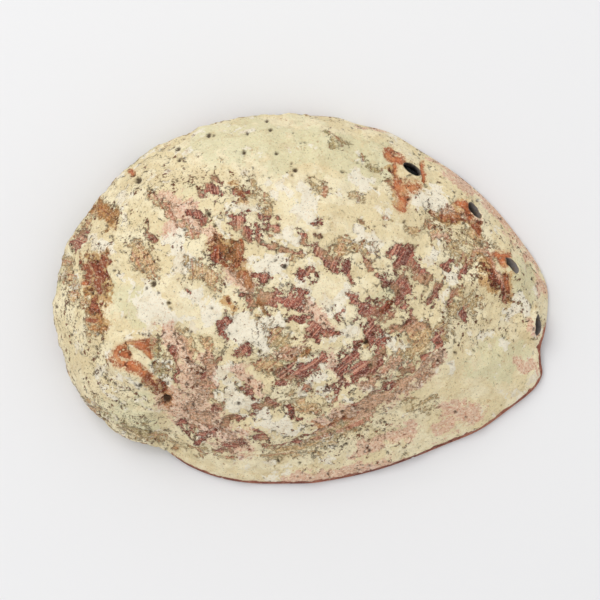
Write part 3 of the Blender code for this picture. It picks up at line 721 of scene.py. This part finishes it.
def outside_relief(points, masks, age, edge, pits):
    """Height of the crust and of the shell's own growth lines above the smooth outside."""
    bare = smoothstep(0.45, 0.55, masks["bare"])
    thin = smoothstep(0.45, 0.6, masks["thin"]) * (1 - bare)
    worn = smoothstep(0.4, 0.55, masks["orange"])
    crust = CRUST_THICKNESS * (1 - bare) - (CRUST_THICKNESS - THIN_THICKNESS) * thin
    crust *= 1 - worn
    lines = np.column_stack([age * 100, np.zeros(len(age)), np.zeros(len(age))]) + points * 0.06
    growth = GROWTH_RELIEF * fractal(lines, 3.2, 3) * (0.5 + bare + thin)
    lumpy = LUMPY_RELIEF * fractal(points, 7, 3, 40.0) * (1 - 0.6 * worn)
    grain = GRAIN_RELIEF * fractal(points, 1.9, 3, 50.0) * (1 - 0.8 * worn) * (1 - 0.5 * bare)
    whole = crust + growth + lumpy + grain
    return whole * smoothstep(0.2, LIP_WIDTH + LIP_FADE, edge) - pits


def scar_share(points):
    """0 to 1 at each point of the inside: how far it is within the rough scar where the foot was fixed."""
    distance = np.linalg.norm((points[:, :2] - SCAR_MIDDLE) / SCAR_RADII, axis=1)
    return 1 - smoothstep(0.75, 1.0, distance + 0.16 * fractal(points, 12, 3, 65.0))


def inside_relief(points):
    """Height of the low waves of the mother of pearl, and of the scar."""
    waves = 0.25 * fractal(points, 14, 3, 60.0)
    return waves + scar_share(points) * (0.3 + 0.4 * fractal(points, 4, 4, 70.0))


def raise_collars(points, widest):
    """The points, with a ring raised round each pore's mouth."""
    moved = points.copy()
    for pore in PORES:
        matrix = np.array(pore_frame(pore, widest))
        local = (points - matrix[:3, 3]) @ matrix[:3, :3]
        share = np.hypot(local[:, 0] / (pore[2] / 2), local[:, 1] / (pore[3] / 2))
        ring = COLLAR_RISE * np.exp(-(((share - 1.25) / COLLAR_SPREAD) ** 2))
        near = (abs(local[:, 2]) < 4) & (share > 0.9)
        moved += np.where(near, ring, 0)[:, None] * matrix[:3, 2]
    return moved


def bore_axes(points, widest):
    """The axis of the pore on whose wall each point is, and zeros elsewhere."""
    axes = np.zeros(points.shape)
    for pore in PORES:
        matrix = np.array(pore_frame(pore, widest))
        local = (points - matrix[:3, 3]) @ matrix[:3, :3]
        share = np.hypot(local[:, 0] / (pore[2] / 2), local[:, 1] / (pore[3] / 2))
        axes[(abs(share - 1) < 0.02) & (abs(local[:, 2]) < BORE_DEPTH)] = matrix[:3, 2]
    return axes


def mesh_points(mesh):
    points = np.empty(len(mesh.vertices) * 3)
    mesh.vertices.foreach_get("co", points)
    return points.reshape(-1, 3)


def mesh_normals(mesh):
    normals = np.empty(len(mesh.vertices) * 3)
    mesh.vertex_normals.foreach_get("vector", normals)
    return normals.reshape(-1, 3)


def store(mesh, name, red, green, blue):
    """Keeps three values at each point as a colour attribute."""
    attribute = mesh.attributes.new(name, "FLOAT_COLOR", "POINT")
    values = np.column_stack([red, green, blue, np.ones(len(red))]).astype(np.float32)
    attribute.data.foreach_set("color", values.ravel())


def finish_surface(mesh):
    """Adds the relief and the masks to the plain shell, and gives the number of each face's material."""
    widest, outer_rim, inner_rim = rim_curves()
    points, normals = mesh_points(mesh), mesh_normals(mesh)
    xy = points[:, :2]
    top, bottom = outer_height(xy, widest), inner_height(xy, inner_rim)
    to_edge, edge_index = nearest(xy, widest)
    within = share_of_way_out(xy, inner_rim) < 0.999
    inside = within & (points[:, 2] < (top + bottom) / 2)
    strip = ~within & (normals[:, 2] < -0.5)
    outside = ~inside & ~strip
    lip_here = 1 - smoothstep(0, 3, by_bearing(BELLY, xy))
    edge = np.where(lip_here > 0, to_edge, to_edge + 3 * (1 - lip_here))
    axes = bore_axes(points, widest)
    bored = axes[:, 2] > 0
    masks = markings(points, normals)
    age = growth_age(xy, widest)
    pits = pit_depth(points, pit_places(widest))
    relief = np.where(outside, outside_relief(points, masks, age, edge, pits), 0.0)
    relief += np.where(inside, inside_relief(points) * smoothstep(0, 3, nearest(xy, inner_rim)[0]), 0.0)
    points = raise_collars(points + relief[:, None] * np.where(bored[:, None], axes, normals), widest)
    points[:, 2] = np.maximum(points[:, 2], 0.0)
    mesh.vertices.foreach_set("co", points.ravel())
    lip = lip_here * (1 - smoothstep(0.3, LIP_WIDTH + LIP_FADE, to_edge + 0.7 * fractal(points, 4, 3, 80.0)))
    lip *= 1 - 0.75 * smoothstep(*RED_LIP_END, points[:, 1])
    from_rim = nearest(xy, inner_rim)[0]
    margin = 1 - smoothstep(0.6, 3.2, from_rim + 1.2 * fractal(points, 6, 3, 90.0))
    lip = np.where(inside | strip, lip_here * margin, lip)
    masks["bare"] = np.where(inside, scar_share(points), masks["bare"])
    # painted shade in the pits, darker where they are deeper
    pit_shade = smoothstep(0.15, 0.7, pits)
    run = edge_index / RIM_SAMPLES
    store(mesh, "cover", masks["bare"], masks["thin"], masks["pink"])
    store(mesh, "film", masks["chalk"], masks["green"], masks["orange"])
    # the second of these three values is the painted shade in the pits
    store(mesh, "wear_and_pit_shade", masks["soft"], pit_shade, lip)
    store(mesh, "growth", age, run, masks["pepper"])
    store(mesh, "stain", masks["stain"], masks["stain"], masks["stain"])
    corners = np.empty(len(mesh.loops), int)
    mesh.loops.foreach_get("vertex_index", corners)
    starts = np.empty(len(mesh.polygons), int)
    mesh.polygons.foreach_get("loop_start", starts)
    nacre = np.minimum.reduceat(inside[corners].astype(int), starts) == 1
    wall = np.minimum.reduceat(bored[corners].astype(int), starts) == 1
    return np.where(wall, 2, np.where(nacre, 1, 0))


def place_mesh(mesh, name, materials, slots):
    """Turns a mesh in millimetres into an object in metres."""
    mesh.transform(Matrix.Scale(MM, 4))
    mesh.materials.clear()
    for material in materials:
        mesh.materials.append(material)
    mesh.polygons.foreach_set("material_index", slots)
    mesh.shade_smooth()
    obj = bpy.data.objects.new(name, mesh)
    bpy.context.scene.collection.objects.link(obj)
    return obj


# Materials


def colour(name):
    """A named colour in Blender's linear values."""
    values = [v / 255 for v in COLOURS[name]]
    return (*(v / 12.92 if v <= 0.04045 else ((v + 0.055) / 1.055) ** 2.4 for v in values), 1.0)


class Nodes:
    """Short calls that add the nodes of one material."""

    def __init__(self, name):
        self.material = bpy.data.materials.new(name)
        self.material.use_nodes = True
        self.tree = self.material.node_tree
        self.shader = self.tree.nodes["Principled BSDF"]

    def add(self, kind, **settings):
        node = self.tree.nodes.new(kind)
        for name, value in settings.items():
            setattr(node, name, value)
        return node

    def put(self, socket, value):
        if isinstance(value, bpy.types.NodeSocket):
            self.tree.links.new(value, socket)
        else:
            socket.default_value = value

    def place(self, stretch=(1, 1, 1)):
        """Places on the object, in metres, stretched."""
        coordinates = self.add("ShaderNodeTexCoord").outputs["Object"]
        if stretch == (1, 1, 1):
            return coordinates
        node = self.add("ShaderNodeMapping")
        self.put(node.inputs["Vector"], coordinates)
        node.inputs["Scale"].default_value = stretch
        return node.outputs[0]

    def parts(self, name):
        """The three values of a stored attribute."""
        return self.split(self.add("ShaderNodeAttribute", attribute_name=name).outputs["Color"])

    def warped(self, size, amount):
        """Places moved about by noise, both in millimetres."""
        node = self.add("ShaderNodeTexNoise")
        self.put(node.inputs["Vector"], self.place())
        node.inputs["Scale"].default_value = 1000 / size
        node.inputs["Detail"].default_value = 3
        moved = self.add("ShaderNodeVectorMath", operation="MULTIPLY_ADD")
        self.put(moved.inputs[0], node.outputs["Color"])
        moved.inputs[1].default_value = (4 * amount * MM,) * 3
        self.put(moved.inputs[2], self.place())
        return moved.outputs[0]

    def noise(self, size, detail=4.0, roughness=0.6, place=None, distortion=0.0):
        """Noise, mostly from 0 to 1, whose largest features are that many millimetres across."""
        node = self.add("ShaderNodeTexNoise")
        self.put(node.inputs["Vector"], place or self.place())
        node.inputs["Scale"].default_value = 1000 / size
        node.inputs["Detail"].default_value = detail
        node.inputs["Roughness"].default_value = roughness
        node.inputs["Distortion"].default_value = distortion
        return self.maths("MULTIPLY_ADD", node.outputs[0], 3.0, -1.0)

    def cells(self, size, feature="F1", place=None):
        """Outputs of cells round scattered points: Distance, and but for edges a random Color for each."""
        node = self.add("ShaderNodeTexVoronoi", feature=feature)
        self.put(node.inputs["Vector"], place or self.place())
        node.inputs["Scale"].default_value = 1000 / size
        return node.outputs

    def split(self, mixed):
        """The red, green and blue of a colour."""
        node = self.add("ShaderNodeSeparateColor")
        self.put(node.inputs[0], mixed)
        return node.outputs[0], node.outputs[1], node.outputs[2]

    def maths(self, operation, first, second=0.0, third=0.0):
        node = self.add("ShaderNodeMath", operation=operation)
        for socket, value in zip(node.inputs, (first, second, third)):
            self.put(socket, value)
        return node.outputs[0]

    def total(self, *weighted):
        """The sum of values, each with its weight."""
        result = 0.0
        for value, weight in weighted:
            result = self.maths("MULTIPLY_ADD", value, weight, result)
        return result

    def step(self, value, low, high):
        """0 below low and 1 above high, smooth between."""
        node = self.add("ShaderNodeMapRange", interpolation_type="SMOOTHSTEP")
        self.put(node.inputs["Value"], value)
        self.put(node.inputs["From Min"], low)
        self.put(node.inputs["From Max"], high)
        return node.outputs[0]

    def mix(self, factor, first, second, blend="MIX"):
        node = self.add("ShaderNodeMix", data_type="RGBA", blend_type=blend)
        self.put(node.inputs["Factor"], factor)
        self.put(node.inputs["A"], colour(first) if isinstance(first, str) else first)
        self.put(node.inputs["B"], colour(second) if isinstance(second, str) else second)
        return node.outputs["Result"]

    def over(self, base, cover, factor, most):
        """The base under a cover, which is as strong as the factor times the most that it may be."""
        return self.mix(self.maths("MULTIPLY", factor, most), base, cover)

    def bump(self, height, distance, strength=1.0):
        node = self.add("ShaderNodeBump")
        self.put(node.inputs["Height"], height)
        node.inputs["Distance"].default_value = distance * MM
        node.inputs["Strength"].default_value = strength
        self.put(self.shader.inputs["Normal"], node.outputs[0])


def growth_streaks(n, size):
    """Noise drawn out along the growth lines."""
    age, run, _ = n.parts("growth")
    node = n.add("ShaderNodeCombineXYZ")
    n.put(node.inputs[0], n.maths("MULTIPLY", age, 0.1))
    n.put(node.inputs[1], n.maths("MULTIPLY", run, 0.02))
    return n.noise(size, 4, 0.6, node.outputs[0])


def crust_material():
    """Cream and green crust over thin olive growth and bare brick shell, with painted shade in its cracks and
    pits and along the crust's broken edges.
    """
    n = Nodes("crust")
    bare, thin, pink = n.parts("cover")
    chalk, green, orange = n.parts("film")
    soft, pit_shade, lip = n.parts("wear_and_pit_shade")
    pepper = n.parts("growth")[2]
    stain = n.parts("stain")[0]
    broad = n.noise(13, 3, 0.5)
    ragged = n.noise(3.6, 9, 0.75)
    other = n.noise(3.4, 8, 0.72, n.place((1.1, 0.9, 1.0)))
    fine = n.noise(1.3, 5, 0.8)
    grain = n.noise(0.9, 4, 0.8, n.place((0.93, 1.07, 1.0)))
    dust = n.noise(0.75, 2, 0.7, n.place((1.04, 0.96, 1.1)))
    streaks = growth_streaks(n, 2.2)
    ribs = growth_streaks(n, 1.1)
    bent = n.warped(5.0, 2.6)
    plates = n.split(n.cells(8, "F1", bent)["Color"])
    cracks = n.cells(8, "DISTANCE_TO_EDGE", bent)["Distance"]
    scales = n.split(n.cells(4.5, "F1", n.warped(3.0, 1.6))["Color"])

    crust = n.mix(n.step(n.total((broad, 0.6), (plates[2], 0.5)), 0.35, 0.65), "cream", "yellow")
    film = n.total((green, 1.0), (broad, 0.4), (plates[1], 0.5), (1.0, -0.45))
    crust = n.over(crust, "green", n.step(film, 0.3, 0.6), 0.6)
    powder = n.total((chalk, 1.0), (plates[0], 0.8), (scales[1], 0.5), (ragged, 0.3), (1.0, -0.8))
    crust = n.over(crust, "chalk", n.step(powder, 0.36, 0.40), 0.85)
    drab = n.total((scales[0], 0.8), (ragged, 0.5), (pepper, 0.3), (1.0, -0.375))
    crust = n.over(crust, "grey", n.step(drab, 0.5, 0.58), 0.3)
    crust = n.over(crust, "tan", n.step(grain, 0.55, 1.0), 0.4)
    blush = n.total((pink, 1.0), (ragged, 0.6), (fine, 0.5), (1.0, -0.55))
    pinked = n.step(blush, 0.38, 0.62)
    rosy = n.mix(n.step(grain, 0.3, 0.8), "pink", "salmon")
    crust = n.over(crust, rosy, pinked, 0.75)
    mottled = n.total((fine, 0.6), (grain, 0.5))
    crust = n.over(crust, "brick", n.maths("MULTIPLY", pinked, n.step(mottled, 0.6, 0.85)), 0.6)
    crust = n.over(crust, "chalk", n.maths("MULTIPLY", pinked, n.step(mottled, 0.45, 0.3)), 0.6)
    speckle = n.total((grain, 1.0), (other, 0.5), (fine, 0.3), (soft, -0.45), (pepper, 0.4), (1.0, -0.5))
    crust = n.over(crust, n.mix(other, "dirt_and_shade", "moss"), n.step(speckle, 0.94, 1.06), 0.9)
    # painted shade in the cracks between the crust's plates
    gaping = n.step(n.total((other, 1.0), (soft, -0.4)), 0.58, 0.78)
    split = n.maths("MULTIPLY", n.step(cracks, 0.06, 0.03), gaping)
    crust = n.over(crust, "dirt_and_shade", split, 0.65)

    growth = n.mix(n.step(n.total((broad, 0.5), (other, 0.5)), 0.35, 0.65), "olive", "tan")
    growth = n.over(growth, "fern", n.step(film, 0.3, 0.6), 0.6)
    growth = n.over(growth, "rosy", pinked, 0.7)
    growth = n.over(growth, "brick", n.step(streaks, 0.55, 0.8), 0.65)
    growth = n.over(growth, crust, n.step(ribs, 0.4, 0.15), 0.65)
    growth = n.over(growth, "moss", n.step(grain, 0.55, 0.75), 0.65)
    growth = n.over(growth, crust, n.step(grain, 0.4, 0.25), 0.7)
    shell = n.mix(n.step(n.total((ribs, 0.9), (other, 0.3)), 0.35, 0.75), "brick", "maroon")
    shell = n.over(shell, "rosy", n.step(ribs, 0.4, 0.1), 0.8)
    shell = n.over(shell, "olive", n.step(broad, 0.5, 0.9), 0.5)
    shell = n.over(shell, "pink", n.step(grain, 0.6, 0.8), 0.7)
    shell = n.over(shell, "dirt_and_shade", n.step(grain, 0.25, 0.1), 0.7)
    kind = n.total((bare, 1.1), (thin, -1.0), (other, 0.7), (1.0, -0.35))
    under = n.mix(n.step(kind, -0.15, 0.2), growth, shell)
    gone = n.maths("MAXIMUM", bare, n.maths("MULTIPLY", thin, 0.9))
    fallen = n.total((gone, 1.0), (ragged, 1.1), (fine, 0.65), (soft, -0.3), (chalk, -0.12), (1.0, -0.89))
    # painted shadow along the broken edges of the crust, where it steps down to the shell below
    shaded = n.maths("MULTIPLY", n.step(fallen, 0.66, 0.52), n.step(other, 0.1, 0.7))
    under = n.over(under, "dirt_and_shade", shaded, 0.9)
    surface = n.mix(n.step(fallen, 0.48, 0.52), crust, under)
    stained = n.step(n.total((stain, 1.0), (ragged, 0.7), (grain, 0.5), (1.0, -0.6)), 0.25, 0.6)
    surface = n.mix(n.maths("MULTIPLY", stained, 0.85), surface, "stain", "MULTIPLY")

    polish = n.total((orange, 1.0), (ragged, 0.8), (fine, 0.6), (1.0, -0.68))
    halo = n.mix(n.step(n.total((fine, 0.6), (grain, 0.5)), 0.35, 0.75), "amber", "yellow")
    worn = n.mix(n.step(n.noise(5, 3, 0.5), 0.35, 1.1), "orange", "amber")
    rusty = n.total((bare, 0.6), (stain, 0.5), (other, 0.7), (1.0, -0.4))
    worn = n.mix(n.step(rusty, 0.3, 0.7), worn, "rust")
    worn = n.over(worn, "rust", n.step(n.total((orange, 1.0), (fine, 0.3)), 1.1, 0.75), 0.6)
    worn = n.over(worn, "cream", n.step(fine, 0.65, 1.0), 0.5)
    worn = n.over(worn, "maroon", n.step(grain, 0.2, 0.0), 0.7)
    polished = n.maths("MULTIPLY", n.step(orange, 0.02, 0.3), n.step(polish, 0.44, 0.56))
    surface = n.over(surface, halo, n.step(n.total((orange, 1.0), (fine, 0.3), (1.0, -0.15)), 0.15, 0.4), 0.6)
    surface = n.mix(polished, surface, worn)

    surface = n.over(surface, "chalk", n.step(dust, 0.7, 1.0), 0.35)
    surface = n.over(surface, "dirt_and_shade", n.step(dust, 0.2, -0.1), 0.5)

    dots = n.cells(1.9, "F1", n.warped(1.2, 0.9))
    size = n.total((n.split(dots["Color"])[0], 0.5), (other, 0.3), (soft, -0.3), (pepper, 0.1), (1.0, -0.32))
    specks = n.step(n.maths("SUBTRACT", size, dots["Distance"]), 0.0, 0.06)
    surface = n.over(surface, n.mix(grain, "dirt_and_shade", "rust"), specks, 0.9)
    # painted shade in the pits
    surface = n.over(surface, "dirt_and_shade", pit_shade, 0.92)
    edge = n.mix(n.step(n.total((streaks, 0.6), (other, 0.5)), 0.3, 0.8), "lip", "maroon")
    edge = n.over(edge, "rosy", n.step(fine, 0.5, 0.9), 0.6)
    at_lip = n.step(n.total((lip, 1.0), (ragged, 0.6), (fine, 0.3), (1.0, -0.45)), 0.42, 0.54)
    surface = n.mix(at_lip, surface, edge)
    n.put(n.shader.inputs["Base Color"], surface)
    n.shader.inputs["Roughness"].default_value = 0.8
    n.shader.inputs["Specular IOR Level"].default_value = 0.25
    relief = n.total(
        (ragged, 0.35), (fine, 0.25), (plates[0], 0.25), (scales[1], 0.2), (specks, -0.6), (split, -0.4),
        (n.step(fallen, 0.45, 0.6), -0.7),
    )
    n.bump(relief, 0.7)
    return n.material


def nacre_material():
    """Mother of pearl in soft bands of rose, green and blue, with the scar of the foot and a red margin."""
    n = Nodes("nacre")
    scar = n.parts("cover")[0]
    lip = n.parts("wear_and_pit_shade")[2]
    bands = growth_streaks(n, 14)
    lines = growth_streaks(n, 1.6)
    clouds = n.noise(34, 3, 0.5, None, 0.7)
    fine = n.noise(2.2, 4, 0.6)
    rough = n.noise(6, 6, 0.7, None, 0.8)
    ramp = n.add("ShaderNodeValToRGB")
    ramp.color_ramp.interpolation = "B_SPLINE"
    for position, tint in NACRE_TINTS:
        ramp.color_ramp.elements.new(position).color = (*tint, 1)
    ramp.color_ramp.elements.remove(ramp.color_ramp.elements[0])
    ramp.color_ramp.elements.remove(ramp.color_ramp.elements[-1])
    n.put(ramp.inputs[0], n.total((clouds, 0.6), (bands, 0.35), (lines, 0.08), (rough, 0.06)))
    pearl = n.over(ramp.outputs[0], "silver", n.step(lines, 0.55, 1.0), 0.25)
    mark = n.mix(n.step(rough, 0.2, 0.8), "scar", "fern")
    mark = n.over(mark, ramp.outputs[0], n.step(fine, 0.45, 0.8), 0.6)
    pearl = n.over(pearl, mark, n.step(n.total((scar, 0.9), (rough, 0.7), (1.0, -0.35)), 0.2, 1.0), 0.7)
    margin = n.mix(n.step(lines, 0.3, 0.8), "lip", "maroon")
    pearl = n.mix(n.step(n.total((lip, 1.0), (fine, 0.3), (1.0, -0.15)), 0.3, 0.6), pearl, margin)
    n.put(n.shader.inputs["Base Color"], pearl)
    n.shader.inputs["Metallic"].default_value = 0.4
    n.put(n.shader.inputs["Roughness"], n.total((scar, 0.18), (fine, 0.08), (1.0, 0.2)))
    n.shader.inputs["Coat Weight"].default_value = 0.5
    n.shader.inputs["Coat Roughness"].default_value = 0.1
    relief = n.total((n.noise(7, 3, 0.5), 0.6), (n.maths("MULTIPLY", rough, scar), 1.2), (lines, 0.15))
    n.bump(relief, 0.25, 0.6)
    return n.material


def bore_material():
    """The wall of a pore, dark with age."""
    n = Nodes("pore_wall")
    n.put(n.shader.inputs["Base Color"], n.mix(n.step(n.noise(2.5), 0.4, 1.2), "hole", "moss"))
    n.shader.inputs["Roughness"].default_value = 0.7
    n.bump(n.noise(0.8), 0.2)
    return n.material


def floor_material():
    n = Nodes("pale_surface")
    n.shader.inputs["Base Color"].default_value = colour("floor")
    n.shader.inputs["Roughness"].default_value = 0.9
    n.shader.inputs["Specular IOR Level"].default_value = 0.1
    return n.material


# The stage


def make_floor():
    mesh = bpy.data.meshes.new("floor")
    side = 1.6
    corners = [(-side, -side, 0), (side, -side, 0), (side, side, 0), (-side, side, 0)]
    mesh.from_pydata(corners, [], [(0, 1, 2, 3)])
    mesh.materials.append(floor_material())
    floor = bpy.data.objects.new("floor", mesh)
    bpy.context.scene.collection.objects.link(floor)


def make_camera():
    """Straight above the shell, with the photograph's frame."""
    data = bpy.data.cameras.new("camera")
    data.lens = data.sensor_width * (CAMERA_HEIGHT - SCALE_HEIGHT) / (PHOTO_SIZE * PIXEL)
    camera = bpy.data.objects.new("camera", data)
    middle = on_shell(PHOTO_SIZE / 2, PHOTO_SIZE / 2) * MM
    camera.location = (middle[0], middle[1], CAMERA_HEIGHT * MM)
    bpy.context.scene.collection.objects.link(camera)
    bpy.context.scene.camera = camera


def soft_box(name, place, size, power):
    """A square lamp that faces the shell."""
    data = bpy.data.lights.new(name, "AREA")
    data.size = size
    data.energy = power
    lamp = bpy.data.objects.new(name, data)
    lamp.location = place
    lamp.rotation_euler = (-Vector(place)).to_track_quat("-Z", "Y").to_euler()
    bpy.context.scene.collection.objects.link(lamp)


def make_light():
    world = bpy.data.worlds.new("studio")
    bpy.context.scene.world = world
    world.use_nodes = True
    background = world.node_tree.nodes["Background"]
    background.inputs["Color"].default_value = (1, 1, 1, 1)
    background.inputs["Strength"].default_value = 0.86
    soft_box("key", (-0.7, 0.8, 1.5), 1.0, 13)
    bpy.context.scene.view_settings.view_transform = "Standard"


def make_shell():
    mesh = bore_pores(shell_mesh())
    slots = finish_surface(mesh)
    shell = place_mesh(mesh, "abalone_shell", [crust_material(), nacre_material(), bore_material()], slots)
    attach(shell, "root")
    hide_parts(NODE)


make_camera()
make_light()
make_floor()
make_shell()
